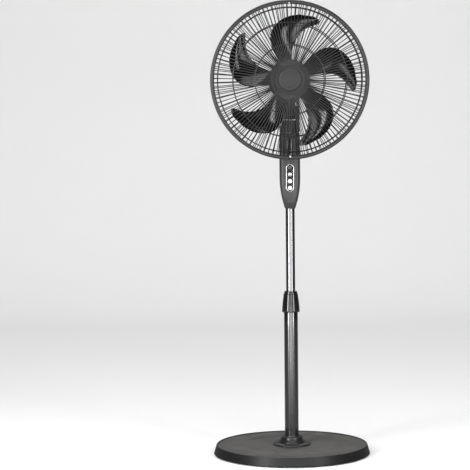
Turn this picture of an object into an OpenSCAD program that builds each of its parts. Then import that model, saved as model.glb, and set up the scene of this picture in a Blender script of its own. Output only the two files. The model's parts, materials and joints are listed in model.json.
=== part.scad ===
// Pedestal fan: round weighted base, telescopic mast with a lock collar, control box with four
// buttons, motor-driven swing, friction tilt, and a five-blade rotor inside a two-part cage.
// Millimetres, +Z up, the air leaves towards -Y, origin on the floor under the middle of the base.

/* [Base] */
// Diameter of the base where it meets the floor
base_d = 434; // [362:1:524]
// How far the base's rim leans in between the floor and its top
base_lean = 7; // [3:0.5:12]
// Height of the base's rim above the floor
base_h = 28; // [24:1:36]
// Wall of the moulded base cover
base_wall = 3; // [2:0.5:3.6]
// Height of the lip that stands above the top face
lip_h = 3; // [2:0.5:4]
// Diameter of the raised middle of the top face
plateau_d = 262; // [150:1:300]
// Room between the cast weight's edge and the base's outer edge
weight_room = 45; // [30:1:60]
// Thickness of the cast weight
weight_t = 7; // [4:0.5:8]
// Diameter of one rubber foot
foot_d = 26; // [16:1:32]
// Number of rubber feet
foot_count = 5; // [4:1:8]

/* [Lower pole] */
// Outer diameter of the lower pole
lower_pole_d = 38; // [34:0.5:46]
// Wall of the lower pole
lower_pole_wall = 1.5; // [1:0.1:2]
// Height of the lower pole's top end above the floor
lower_pole_top = 425; // [350:1:550]
// Diameter of the trim collar's flange on the base
flange_d = 104; // [90:1:130]
// Height of the trim collar on the base
trim_h = 27; // [20:1:34]

/* [Upper pole] */
// Outer diameter of the upper pole
upper_pole_d = 25; // [20.5:0.5:28]
// Wall of the upper pole
upper_pole_wall = 1.2; // [0.8:0.1:2]
// Length of the upper pole that shows at full height
upper_pole_shown = 229; // [120:1:260]
// Length of the upper pole held inside the lower pole at full height
upper_pole_held = 150; // [120:1:150]

/* [Lock collar] */
// Height of the lock collar
lock_h = 58; // [46:1:70]
// Wall of the lock collar round the lower pole at its lower edge
lock_wall = 5.5; // [5:0.1:9]
// Number of finger flutes round the lock collar
lock_flutes = 10; // [6:1:14]

/* [Control box] */
// Width of the control box
box_w = 56.4; // [54:0.2:70]
// Height of the control box
box_h = 208; // [200:1:260]
// Height of the tapered foot of the control box
box_taper_h = 85; // [60:1:90]
// Distance from the pole axis to the box's front face
box_front = 26; // [25:0.5:32]
// Distance from the pole axis to the box's rear face
box_rear = 36; // [35.5:0.5:48]
// Wall of the control box shells
box_wall = 2.5; // [2:0.1:3]
// Diameter of one push button
button_d = 11.7; // [9:0.1:13]
// Distance between neighbouring push buttons
button_pitch = 18.8; // [16:0.1:20]
// How far a push button travels
button_travel = 0.7; // [0.3:0.1:0.8]

/* [Swing drive] */
// Diameter of the swing spindle
spindle_d = 16; // [13:0.5:17]
// Gear module of the swing drive
gear_module = 0.75; // [0.7:0.05:0.8]
// Teeth on the swing gear
gear_teeth = 36; // [36:1:40]
// Teeth on the swing pinion
pinion_teeth = 12; // [11:1:14]

/* [Tilt joint] */
// Height of the tilt axis above the control box
tilt_rise = 55; // [48:1:70]
// Width of the knuckle that turns between the yoke's ears
knuckle_w = 33; // [26:0.5:35]
// Diameter of the tilt bolt
tilt_bolt_d = 8; // [6:0.5:10]
// Height of the blade axis above the tilt axis
head_rise = 90; // [88:1:110]

/* [Motor] */
// Outer diameter of the motor's end bells
bell_d = 86; // [84:1:92]
// Diameter of the stator core
stator_d = 80; // [70:1:80]
// Diameter of the rotor core
rotor_d = 48; // [40:1:50]
// Diameter of the motor shaft
shaft_d = 8; // [6:0.5:10]
// Outer diameter of the motor cover
cover_d = 114; // [112:1:140]

/* [Cage and blades] */
// Outer diameter of the cage's rim
rim_d = 430; // [380:1:520]
// Depth of the rim along the blade axis
rim_depth = 20; // [18:1:30]
// Distance from the pole axis forward to the middle of the rim
rim_forward = 95; // [92:1:110]
// Depth of the front cage in front of the rim's middle
front_depth = 55; // [45:1:70]
// Number of radial wires in the front cage
front_wires = 116; // [60:4:120]
// Number of radial wires in the rear cage
rear_wires = 96; // [60:4:120]
// Thickness of a radial wire
wire_d = 2; // [1.6:0.1:2.6]
// Diameter of the front badge
badge_d = 62; // [40:1:90]
// Diameter over the blade tips
blade_d = 362; // [300:1:372]
// Number of blades
blade_count = 5; // [3:1:5]
// Diameter of the blade hub
hub_d = 92; // [80:1:100]

/* [Hidden] */
$fn = 64;

// Clearances: a fixed joint, a running joint, and the joint line between two shells.
fixed_gap = 0.05;
run_gap = 0.06;
seam_gap = 0.3;
// Room beyond every side for a cutting tool.
cut = 1;

// Base stack
foot_stand = 2.5;
plate_t = 1;
plate_z = foot_stand + fixed_gap;
plate_d = base_d - 2 * base_wall - 6;
weight_z = plate_z + plate_t + fixed_gap;
base_face_z = base_h - lip_h;
plateau_rise = 0.8;
cover_under_z = base_face_z - base_wall;
lip_w = 4;
weight_r = base_d / 2 - weight_room;
foot_circle_r = weight_r - foot_d / 2 - 4;
socket_flange_r = 46;
socket_flange_t = 4;
socket_z = weight_z + weight_t + fixed_gap;
socket_bolt_r = 3;
socket_bolt_circle_r = 36;
lower_pole_r = lower_pole_d / 2;
lower_pole_bore_r = lower_pole_r - lower_pole_wall;
lower_pole_z = socket_z + socket_flange_t + fixed_gap;
socket_plug_top = base_h + 30;
screw_r = 2;
base_boss_r = 5;
base_screw_circle_r = weight_r + base_boss_r + 2;

// Mast stack, from the lower pole up to the blade axis
upper_pole_r = upper_pole_d / 2;
lock_overlap = 28;
lock_z = lower_pole_top - lock_overlap;
lock_top_z = lock_z + lock_h;
box_z = lock_top_z + upper_pole_shown;
box_top_z = box_z + box_h;
upper_pole_z = lower_pole_top - upper_pole_held;
upper_pole_top_z = box_z + 73;
tilt_z = box_top_z + tilt_rise;
head_z = tilt_z + head_rise;

// Pole collet and guide
collet_sleeve_t = 1.2;
collet_sleeve_l = 24;
collet_rim_t = 3;
collet_neck_r = upper_pole_r + 3.2;
collet_slit_w = 1.5;
guide_h = 30;

// Control box
box_half_w = box_w / 2;
box_face_taper_h = 46;
box_foot_r = upper_pole_r + 1.3;
box_foot_depth = upper_pole_r + 2.5;
box_corner_r = 10;
seam_y = 4;
panel_w = button_d + 10.1;
panel_t = 4.2;
panel_proud = 1.2;
panel_mid_z = box_z + 85.5;
panel_face_y = -box_front - panel_proud;
panel_back_y = panel_face_y + panel_t;
button_proud = 1.8;
button_flange_t = 1.5;
board_y = -box_front + 9;
board_t = 1.6;
button_seat_gap = 0.1;
switch_gap = 0.2;
flange_back_y = panel_back_y + button_seat_gap + button_flange_t;
switch_h = board_y - flange_back_y - button_travel - switch_gap;
window_w = 17;
window_l = 44;
window_mid_z = box_z + 171;
gland_r = 6;
gland_z = box_z + 60;
box_screw_zs = [box_z + 40, box_top_z - 8];

// Mast bracket and swing drive
bracket_r = upper_pole_r + 2;
bracket_half_w = 22;
bracket_side_t = 3;
bracket_plate_z = upper_pole_top_z + 7;
bracket_top_z = box_top_z - 14;
bracket_top_t = 4;
spindle_r = spindle_d / 2;
bush_r = spindle_r + 3;
gear_z = bracket_top_z + 2;
gear_t = 8;
gear_pitch_r = gear_module * gear_teeth / 2;
pinion_pitch_r = gear_module * pinion_teeth / 2;
gear_centres = gear_pitch_r + pinion_pitch_r;
pinion_shaft_r = 2.5;
spindle_nut_h = 4.8;
spindle_nut_z = bracket_top_z - 25;
swing_motor_r = 14;
swing_motor_h = 20;
swing_motor_z = spindle_nut_z - 3 - swing_motor_h;
washer_t = 1.4;

// Tilt joint
yoke_z = box_top_z + washer_t + 0.1;
yoke_r = box_half_w - 0.7;
ear_r = 20;
tilt_bolt_r = tilt_bolt_d / 2;
ear_gap = 0.7;
ear_in_x = knuckle_w / 2 + ear_gap;
ear_recess = 6;
ear_recess_r = tilt_bolt_r + 5;
knuckle_r = 18;
knuckle_gap = 1.5;
yoke_base_h = tilt_z - knuckle_r - knuckle_gap - yoke_z;
knuckle_depth = 28;

// Motor, measured forward along the blade axis from the pole axis
bell_r = bell_d / 2;
stator_r = stator_d / 2;
rotor_r = rotor_d / 2;
shaft_r = shaft_d / 2;
core_back = -14;
core_front = 12;
bell_front = 36;
bell_back = -38;
seat_front = 41;
spigot_r = 22;
spigot_front = 53;
bearing_r = shaft_r + 5;
bearing_l = 8;
bell_lug_r = 4.5;
bell_lug_circle_r = bell_r + 2;
motor_bolt_r = 2;
cover_r = cover_d / 2;
cover_wall = 2.5;
cover_front = 38;
cover_side_back = -34;
cover_back = -66;
cover_flat_r = 22;
cover_screw_x = 18;
cover_screw_r = 1.6;
cover_slot_count = 28;

// Cage
rim_r = rim_d / 2;
rim_wall = 2.5;
rim_edge = 2.5;
cage_r = rim_r - 14.5;
perimeter_wire_r = 2.1;
perimeter_r = rim_r - rim_wall - perimeter_wire_r - 0.4;
rim_screw_r = 1.3;
rim_screw_circle_r = perimeter_r - perimeter_wire_r - rim_screw_r - 0.2;
rim_lip_r = rim_screw_circle_r - rim_screw_r - 0.7;
rim_nut_h = 2.1;
rim_nut_gap = 0.1;
wire_seat = 4.5;
wire_end_r = perimeter_r - perimeter_wire_r - 0.1;
plate_r = 52;
wire_start_r = plate_r + 0.5;
cage_power = 3;
rear_depth = rim_forward - seat_front - 1;
ring_wire_r = 1.3;
ring_shares = [0.472, 0.768, 0.983];
ring_gap = 0.5;
cage_plate_t = 1;
nut_r = 38;
nut_l = 9;

// Blades
hub_r = hub_d / 2;
hub_back = 64;
hub_front = 108;
hub_wall = 3;
boss_r = shaft_r + 5;
boss_back = 60;
blade_r = blade_d / 2;
blade_mid = 89;
drive_pin_r = 1.5;
drive_pin_l = 18;
spinner_r = 20;
spinner_l = 16;

plastic_black = "#2b2c2d";
plastic_grey = "#4a4a4b";
paint_black = "#1d1d1e";
steel = "#9a9c9f";

// Everything on the head is drawn with its own z running forward along the blade axis.
module head_frame() {
  translate([0, 0, head_z]) rotate([90, 0, 0]) children();
}

module tube(r, bore, h) {
  difference() {
    cylinder(r = r, h = h);
    translate([0, 0, -cut]) cylinder(r = bore, h = h + 2 * cut);
  }
}

module ring_of(count, radius, phase = 0) {
  for (i = [0:count - 1]) rotate(phase + i * 360 / count) translate([radius, 0, 0]) children();
}

module torus(ring_radius, wire_radius) {
  rotate_extrude() translate([ring_radius, 0]) circle(r = wire_radius);
}

module along_x() {
  rotate([0, 90, 0]) children();
}

module forward_cylinder(x, z, from_y, to_y, r) {
  translate([x, from_y, z]) rotate([from_y > to_y ? 90 : -90, 0, 0]) cylinder(r = r, h = abs(to_y - from_y));
}

// ---------- Base ----------

module base_cover() {
  foot_r = base_d / 2;
  top_r = foot_r - base_lean;
  plateau_r = plateau_d / 2;
  hole_r = lower_pole_r + 0.5;
  color(plastic_black) difference() {
    union() {
      rotate_extrude() polygon([
        [hole_r, base_face_z + plateau_rise], [plateau_r, base_face_z + plateau_rise],
        [plateau_r + 1.5, base_face_z], [top_r - lip_w, base_face_z], [top_r - lip_w + 0.8, base_h],
        [top_r - 1.2, base_h], [top_r, base_h - 1.2], [foot_r, plate_z],
        [foot_r - base_wall, plate_z], [top_r - base_wall, cover_under_z], [hole_r, cover_under_z]
      ]);
      ring_of(foot_count, base_screw_circle_r, 54)
        cylinder_z(base_boss_r, plate_z + plate_t + fixed_gap, cover_under_z + 1);
    }
    ring_of(foot_count, base_screw_circle_r, 54) cylinder_z(screw_r + fixed_gap, plate_z, cover_under_z);
  }
}

module base_weight() {
  color(steel) difference() {
    translate([0, 0, weight_z]) tube(weight_r, lower_pole_bore_r - 3, weight_t);
    translate([0, 0, weight_z - cut]) ring_of(3, socket_bolt_circle_r)
      cylinder(r = socket_bolt_r + fixed_gap, h = weight_t + 2 * cut);
  }
}

module base_plate() {
  color(steel) difference() {
    translate([0, 0, plate_z]) cylinder(r = plate_d / 2, h = plate_t);
    translate([0, 0, plate_z - cut]) {
      ring_of(foot_count, foot_circle_r, 90) cylinder(r = foot_stem_r() + fixed_gap, h = plate_t + 2 * cut);
      ring_of(foot_count, base_screw_circle_r, 54) cylinder(r = screw_r + fixed_gap, h = plate_t + 2 * cut);
    }
  }
}

function foot_stem_r() = foot_d / 4;

module rubber_feet() {
  color("#151515") ring_of(foot_count, foot_circle_r, 90) {
    cylinder(r1 = foot_d / 2 - 1, r2 = foot_d / 2, h = foot_stand);
    cylinder(r = foot_stem_r(), h = plate_z + plate_t);
  }
}

module pole_socket() {
  color(steel) translate([0, 0, socket_z]) difference() {
    union() {
      cylinder(r = socket_flange_r, h = socket_flange_t);
      cylinder(r = lower_pole_bore_r - fixed_gap, h = socket_plug_top - socket_z);
    }
    translate([0, 0, -cut]) cylinder(r = lower_pole_bore_r - 3, h = socket_plug_top);
    translate([0, 0, -cut]) ring_of(3, socket_bolt_circle_r)
      cylinder(r = socket_bolt_r + fixed_gap, h = socket_flange_t + 2 * cut);
  }
}

module socket_bolts() {
  head_z0 = socket_z + socket_flange_t + fixed_gap;
  color(steel) ring_of(3, socket_bolt_circle_r) {
    cylinder_z(socket_bolt_r, weight_z + 0.5, head_z0 + 1);
    translate([0, 0, head_z0]) cylinder(r = socket_bolt_r + 2, h = 2.6, $fn = 6);
  }
}

module base_screws() {
  color(steel) ring_of(foot_count, base_screw_circle_r, 54) {
    cylinder_z(screw_r, plate_z - 1.2, cover_under_z - 1);
    cylinder_z(screw_r * 1.8, plate_z - 1.4, plate_z - fixed_gap);
  }
}

module cylinder_z(r, from_z, to_z) {
  translate([0, 0, from_z]) cylinder(r = r, h = to_z - from_z);
}

module base_trim_collar() {
  foot_z = base_face_z + plateau_rise + fixed_gap;
  bore = lower_pole_r + 0.1;
  color(plastic_black) translate([0, 0, foot_z]) rotate_extrude() polygon([
    [bore, 0], [flange_d / 2, 0], [flange_d / 2, 2.5], [flange_d / 2 - 2, 4.5],
    [flange_d * 0.36, 6], [flange_d * 0.35, 8.5], [lower_pole_r + 10, trim_h - 7],
    [lower_pole_r + 10, trim_h - 4.5], [lower_pole_r + 8.5, trim_h - 3.5],
    [lower_pole_r + 4.5, trim_h - 3], [lower_pole_r + 4.5, trim_h - 0.8], [lower_pole_r + 3.7, trim_h],
    [bore, trim_h]
  ]);
}

module lower_pole() {
  color(paint_black) translate([0, 0, lower_pole_z])
    tube(lower_pole_r, lower_pole_bore_r, lower_pole_top - lower_pole_z);
}

module pole_collet() {
  sleeve_r = lower_pole_r + collet_sleeve_t;
  sleeve_z = lower_pole_top - collet_sleeve_l;
  tip_z = lock_top_z - 3;
  color(plastic_black) difference() {
    union() {
      translate([0, 0, sleeve_z]) tube(sleeve_r, lower_pole_r + fixed_gap, collet_sleeve_l + 2 * fixed_gap);
      translate([0, 0, lower_pole_top + fixed_gap]) cylinder(r = sleeve_r, h = collet_rim_t);
      cylinder_z(lower_pole_bore_r - fixed_gap, sleeve_z, lower_pole_top + 1);
      cylinder_z(collet_neck_r, lower_pole_top + 1, tip_z);
    }
    cylinder_z(upper_pole_r + run_gap, sleeve_z - cut, tip_z + cut);
    for (a = [0, 90]) rotate(a)
      translate([-collet_neck_r - cut, -collet_slit_w / 2, lower_pole_top + collet_rim_t + 2])
        cube([2 * (collet_neck_r + cut), collet_slit_w, tip_z]);
  }
}

// ---------- Lock collar ----------

// How far the lock collar has narrowed, from its lower edge (0) to its mouth (1), at shares of its height.
lock_taper = [[0.02, 0], [0.25, 0.1], [0.5, 0.25], [0.66, 0.42], [0.83, 0.65], [0.96, 0.86], [1, 1]];

module lock_collar() {
  low_r = lower_pole_r + lock_wall;
  top_r = upper_pole_r + 4;
  thread_r = lower_pole_r + collet_sleeve_t + run_gap;
  thread_top = lock_overlap + collet_rim_t + 1;
  cone_r = collet_neck_r + run_gap;
  roof = lock_h - 2.5;
  flute_r = 5;
  flute_depth = 1.5;
  flute_lean = 3.2;
  color(plastic_black) difference() {
    translate([0, 0, lock_z]) rotate_extrude() polygon(concat(
      [[thread_r, 0], [low_r - 0.8, 0]],
      [for (step = lock_taper) [low_r - (low_r - top_r) * step[1], lock_h * step[0]]],
      [[upper_pole_r + 0.5, lock_h], [upper_pole_r + 0.5, roof], [cone_r, roof], [cone_r, thread_top],
        [thread_r, thread_top]]
    ));
    translate([0, 0, lock_z - cut]) ring_of(lock_flutes, low_r + flute_r - flute_depth, 18)
      rotate([0, -flute_lean, 0]) cylinder(r = flute_r, h = lock_h * 0.8);
  }
}

// ---------- Upper pole and what is fixed to it ----------

module upper_pole() {
  color(steel) translate([0, 0, upper_pole_z])
    tube(upper_pole_r, upper_pole_r - upper_pole_wall, upper_pole_top_z - upper_pole_z);
}

module pole_guide() {
  color(plastic_grey) translate([0, 0, upper_pole_z - 3]) difference() {
    cylinder(r = lower_pole_bore_r - run_gap, h = guide_h);
    translate([0, 0, 3 - fixed_gap]) cylinder(r = upper_pole_r + fixed_gap, h = guide_h);
    translate([0, 0, -cut]) cylinder(r = upper_pole_r - 3, h = guide_h);
  }
}

// Half the width, or a depth, of the control box at a height above its foot:
// an arc out of the foot, then straight.
function box_side(full, foot, taper_h, up) =
  let (drop = full - foot, arc_r = (taper_h * taper_h + drop * drop) / (2 * drop))
  up >= taper_h ? full : full - arc_r + sqrt(arc_r * arc_r - pow(taper_h - up, 2));

function box_half_w_at(up) = box_side(box_half_w, box_foot_r, box_taper_h, up);
function box_front_at(up) = box_side(box_front, box_foot_depth, box_face_taper_h, up);
function box_rear_at(up) = box_side(box_rear, box_foot_depth, box_face_taper_h, up);

function box_ups(taper_h) = [for (i = [0:10]) taper_h * i / 10];

function box_edge(full, foot, taper_h, side, inset) =
  [for (up = box_ups(taper_h)) [side * (box_side(full, foot, taper_h, up) - inset), box_z + up]];

function back_to_front(list) = [for (i = [len(list) - 1:-1:0]) list[i]];

function box_outline(right, left, foot, taper_h, inset) = concat(
  box_edge(right, foot, taper_h, 1, inset),
  [[right - inset, box_top_z - inset], [inset - left, box_top_z - inset]],
  back_to_front(box_edge(left, foot, taper_h, -1, inset))
);

function rounded_plan(x, front, rear, r) = [
  for (corner = [
    [x - r, rear - r, 0], [r - x, rear - r, 90], [r - x, r - front, 180], [x - r, r - front, 270]
  ])
    for (i = [0:6]) [corner[0] + r * cos(corner[2] + 15 * i), corner[1] + r * sin(corner[2] + 15 * i)]
];

module box_form(inset) {
  reach = 4 * box_half_w;
  intersection() {
    rotate([90, 0, 0]) linear_extrude(reach, center = true)
      polygon(box_outline(box_half_w, box_half_w, box_foot_r, box_taper_h, inset));
    rotate([90, 0, 90]) linear_extrude(reach, center = true)
      polygon(box_outline(box_rear, box_front, box_foot_depth, box_face_taper_h, inset));
    translate([0, 0, box_z]) linear_extrude(box_h)
      polygon(rounded_plan(box_half_w - inset, box_front - inset, box_rear - inset, box_corner_r - inset));
  }
}

module box_shell() {
  difference() {
    box_form(0);
    box_form(box_wall);
    cylinder_z(upper_pole_r + fixed_gap, box_z - cut, box_z + box_taper_h);
    cylinder_z(spindle_r + 1.5, box_top_z - box_wall - cut, box_top_z + cut);
  }
}

module half_space(front) {
  reach = 200;
  translate([-reach / 2, front ? seam_y - seam_gap / 2 - reach : seam_y + seam_gap / 2, box_z - cut])
    cube([reach, reach, box_h + 2 * cut]);
}

// A flat pill shape standing upright, facing the front, from one depth to another.
module pill(mid_z, width, length, from_y, to_y) {
  half_run = (length - width) / 2;
  for (s = [-1, 1]) forward_cylinder(0, mid_z + s * half_run, from_y, to_y, width / 2);
  translate([-width / 2, min(from_y, to_y), mid_z - half_run])
    cube([width, abs(to_y - from_y), 2 * half_run]);
}

function button_z(i) = panel_mid_z + (1.5 - i) * button_pitch + 0.6;

panel_l = 3 * button_pitch + panel_w - 3;

module control_box_front() {
  color(plastic_grey) difference() {
    union() {
      intersection() {
        box_shell();
        half_space(true);
      }
      for (z = box_screw_zs, s = [-1, 1])
        forward_cylinder(s * screw_x(z), z, seam_y - seam_gap, boss_front_y(z), 3.2);
    }
    pill(panel_mid_z, panel_w + 0.3, panel_l + 0.3, -box_front - cut, -box_front + box_wall + cut);
    pill(window_mid_z, window_w + 0.2, window_l + 0.2, -box_front - cut, -box_front + box_wall + cut);
    for (z = box_screw_zs, s = [-1, 1])
      forward_cylinder(s * screw_x(z), z, seam_y + cut, boss_front_y(z) + 4, 1.25);
  }
}

function screw_x(z) = box_half_w_at(z - box_z) - 6.6;

function boss_front_y(z) = box_wall - 1 - box_front_at(z - box_z);

function boss_rear_y(z) = box_rear_at(z - box_z);

module control_box_rear() {
  color(plastic_grey) difference() {
    union() {
      intersection() {
        box_shell();
        half_space(false);
      }
      for (z = box_screw_zs, s = [-1, 1])
        forward_cylinder(s * screw_x(z), z, seam_y + seam_gap, boss_rear_y(z) - 2, 3.2);
    }
    for (z = box_screw_zs, s = [-1, 1]) {
      forward_cylinder(s * screw_x(z), z, seam_y - cut, box_rear + cut, 1.5);
      forward_cylinder(s * screw_x(z), z, boss_rear_y(z) - 4, box_rear + cut, 2.9);
    }
    forward_cylinder(0, gland_z, upper_pole_r, box_rear + cut, gland_r + fixed_gap);
    forward_cylinder(0, box_z + 25, 0, box_rear + cut, 2.5 + fixed_gap);
  }
}

module control_box_screws() {
  color(steel) for (z = box_screw_zs, s = [-1, 1]) {
    forward_cylinder(s * screw_x(z), z, boss_front_y(z) + 5, boss_rear_y(z) - 4, 1.2);
    forward_cylinder(s * screw_x(z), z, boss_rear_y(z) - 3.95, boss_rear_y(z) - 2, 2.7);
  }
}

module pole_clamp_screw() {
  z = box_z + 25;
  out = boss_rear_y(z + 5);
  color(steel) {
    forward_cylinder(0, z, upper_pole_r + 0.1, out + 1, 2.5);
    forward_cylinder(0, z, out + 0.3, out + 4, 4.6);
  }
}

module cord_gland() {
  out = boss_rear_y(gland_z);
  color("#151515") difference() {
    union() {
      forward_cylinder(0, gland_z, out - 4, out + 1.5, gland_r);
      forward_cylinder(0, gland_z, out + 0.4, out + 3, gland_r + 2);
    }
    forward_cylinder(0, gland_z, out - 5, out + 4, 3.6);
  }
}

module button_panel() {
  color("#b8babd") difference() {
    pill(panel_mid_z, panel_w, panel_l, panel_face_y, panel_back_y);
    for (i = [0:3])
      forward_cylinder(0, button_z(i), panel_face_y - cut, panel_back_y + cut, button_d / 2 + 0.25);
  }
}

module receiver_window() {
  color("#101012") pill(window_mid_z, window_w, window_l, -box_front - 0.4, -box_front + box_wall);
}

module push_button(i) {
  color("#e4e6e8") {
    forward_cylinder(0, button_z(i), panel_face_y - button_proud, panel_back_y + 1, button_d / 2);
    forward_cylinder(0, button_z(i), panel_back_y + button_seat_gap, flange_back_y, button_d / 2 + 1);
  }
}

module control_board() {
  bottom = box_z + 33;
  top = box_z + 180;
  color("#1f5a38") {
    translate([-13, board_y, bottom]) cube([26, board_t, top - bottom]);
    translate([-4, board_y - 4, window_mid_z - 16]) cube([8, 4 + board_t / 2, 7]);
    for (x = [-3, 3]) forward_cylinder(x, window_mid_z - 4, board_y + board_t / 2, board_y - 4.5, 1.5);
  }
}

module button_switches() {
  color("#bfc2c5") for (i = [0:3])
    translate([-3, board_y - switch_h, button_z(i) - 3]) cube([6, switch_h - fixed_gap, 6]);
}

module mast_bracket() {
  side_back = 20;
  side_front = 8;
  color(steel) difference() {
    union() {
      cylinder_z(bracket_r, upper_pole_top_z - 27, bracket_plate_z + 1);
      translate([-bracket_half_w, -side_front, bracket_plate_z])
        cube([2 * bracket_half_w, side_front + side_back, 4]);
      for (s = [0, 1]) mirror([s, 0, 0])
        translate([bracket_half_w - bracket_side_t, -side_front, bracket_plate_z])
          cube([bracket_side_t, side_front + side_back, bracket_top_z - bracket_plate_z]);
      translate([-bracket_half_w, -12, bracket_top_z - bracket_top_t])
        cube([2 * bracket_half_w, 12 + box_rear - box_wall - 5, bracket_top_t]);
      translate([-bracket_half_w + 1, 5, swing_motor_z - 3])
        cube([2 * bracket_half_w - 2, 22, 3 - fixed_gap]);
    }
    cylinder_z(upper_pole_r + fixed_gap, upper_pole_z, upper_pole_top_z + fixed_gap);
    cylinder_z(bush_r + fixed_gap, bracket_top_z - bracket_top_t - cut, bracket_top_z + cut);
    translate([0, gear_centres, 0])
      cylinder_z(pinion_shaft_r + 1, bracket_top_z - bracket_top_t - cut, bracket_top_z + cut);
  }
}

module swivel_bush() {
  color(plastic_grey) difference() {
    union() {
      cylinder_z(bush_r, spindle_nut_z + spindle_nut_h + 0.2, bracket_top_z + 1);
      cylinder_z(bush_r + 1.2, bracket_top_z + fixed_gap, gear_z - 0.15);
    }
    cylinder_z(spindle_r + run_gap, spindle_nut_z, gear_z + cut);
  }
}

module thrust_washer() {
  color("#d8d8d4") translate([0, 0, box_top_z + fixed_gap]) tube(yoke_r - 5, spindle_r + 1.2, washer_t);
}

module swing_motor() {
  color("#c9ccd0") translate([0, gear_centres, 0]) {
    cylinder_z(swing_motor_r, swing_motor_z, swing_motor_z + swing_motor_h);
  }
}

// Involute tooth profiles, with backlash taken off each flank.
function involute_angle(base_r, r) = let (a = acos(base_r / r)) tan(a) * 180 / PI - a;

function gear_points(teeth, m) =
  let (
    pitch_r = m * teeth / 2, base_r = pitch_r * cos(20),
    tip_r = pitch_r + m * 0.95, root_r = pitch_r - 1.25 * m,
    start_r = max(base_r, root_r + 0.01), backlash = 0.1,
    half = 90 / teeth - backlash / 2 / pitch_r * 180 / PI + involute_angle(base_r, pitch_r),
    flank = [for (i = [0:4]) start_r + (tip_r - start_r) * i / 4]
  )
  [for (t = [0:teeth - 1]) let (mid = t * 360 / teeth) each concat(
    [polar(root_r, mid - half)],
    [for (r = flank) polar(r, mid - half + involute_angle(base_r, r))],
    [for (i = [4:-1:0]) polar(flank[i], mid + half - involute_angle(base_r, flank[i]))],
    [polar(root_r, mid + half)]
  )];

function polar(r, a) = [r * cos(a), r * sin(a)];

module swing_pinion() {
  color("#e8e6df") translate([0, gear_centres, 0]) {
    translate([0, 0, gear_z]) rotate(90 + 180 / pinion_teeth) linear_extrude(gear_t)
      polygon(gear_points(pinion_teeth, gear_module));
    cylinder_z(pinion_shaft_r, swing_motor_z + swing_motor_h + 0.2, gear_z + 1);
  }
}

// ---------- Swivelling neck ----------

module tilt_yoke() {
  color(plastic_grey) difference() {
    union() {
      cylinder_z(yoke_r, yoke_z, yoke_z + yoke_base_h);
      cylinder_z(spindle_r, spindle_nut_z - 1, yoke_z + 1);
      for (s = [0, 1]) mirror([s, 0, 0]) {
        translate([ear_in_x, -ear_r, yoke_z + 2]) cube([yoke_r - ear_in_x, 2 * ear_r, tilt_z - yoke_z - 2]);
        translate([ear_in_x, 0, tilt_z]) along_x() cylinder(r = ear_r, h = yoke_r - ear_in_x);
      }
    }
    translate([-yoke_r - cut, 0, tilt_z]) along_x()
      cylinder(r = tilt_bolt_r + run_gap, h = 2 * (yoke_r + cut));
    for (s = [0, 1]) mirror([s, 0, 0]) translate([yoke_r - ear_recess, 0, tilt_z]) along_x()
      cylinder(r = ear_recess_r, h = ear_recess + cut);
  }
}

module swing_gear() {
  color("#e8e6df") translate([0, 0, gear_z]) difference() {
    rotate(90) linear_extrude(gear_t) polygon(gear_points(gear_teeth, gear_module));
    translate([0, 0, -cut]) cylinder(r = spindle_r + fixed_gap, h = gear_t + 2 * cut);
  }
}

module spindle_nut() {
  color(steel) translate([0, 0, spindle_nut_z]) difference() {
    cylinder(r = spindle_r + 3.4, h = spindle_nut_h, $fn = 6);
    translate([0, 0, -cut]) cylinder(r = spindle_r + fixed_gap, h = spindle_nut_h + 2 * cut);
  }
}

module tilt_bolt() {
  head_x = yoke_r - ear_recess + 0.1;
  color(steel) translate([0, 0, tilt_z]) {
    translate([-head_x - 4, 0, 0]) along_x() cylinder(r = tilt_bolt_r + 3, h = 4, $fn = 6);
    translate([-head_x - 1, 0, 0]) along_x() cylinder(r = tilt_bolt_r, h = 2 * head_x + 5);
  }
}

module tilt_nut() {
  color(steel) translate([yoke_r - ear_recess + 0.1, 0, tilt_z]) along_x() difference() {
    cylinder(r = tilt_bolt_r + 3.2, h = 4, $fn = 6);
    translate([0, 0, -cut]) cylinder(r = tilt_bolt_r + fixed_gap, h = 4 + 2 * cut);
  }
}

module tilt_washers() {
  color("#d8d8d4") for (s = [0, 1]) mirror([s, 0, 0]) translate([knuckle_w / 2 + 0.05, 0, tilt_z]) along_x()
    tube(12, tilt_bolt_r + 0.2, ear_gap - 0.1);
}

// ---------- Head ----------

module tilt_knuckle() {
  color(plastic_grey) difference() {
    union() {
      translate([-knuckle_w / 2, 0, tilt_z]) along_x() cylinder(r = knuckle_r, h = knuckle_w);
      translate([-knuckle_w / 2, -knuckle_depth / 2, tilt_z])
        cube([knuckle_w, knuckle_depth, head_rise - bell_r + 12]);
    }
    translate([-knuckle_w, 0, tilt_z]) along_x() cylinder(r = tilt_bolt_r + run_gap, h = 2 * knuckle_w);
    head_frame() translate([0, 0, -100]) cylinder(r = bell_r + fixed_gap, h = 200);
  }
}

module bell_lugs(from_a, to_a) {
  difference() {
    translate([0, 0, from_a]) ring_of(4, bell_lug_circle_r, 45) cylinder(r = bell_lug_r, h = to_a - from_a);
    translate([0, 0, from_a - cut]) cylinder(r = stator_r + 0.05, h = to_a - from_a + 2 * cut);
    translate([0, 0, from_a - cut]) ring_of(4, bell_lug_circle_r, 45)
      cylinder(r = motor_bolt_r + fixed_gap, h = to_a - from_a + 2 * cut);
  }
}

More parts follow.
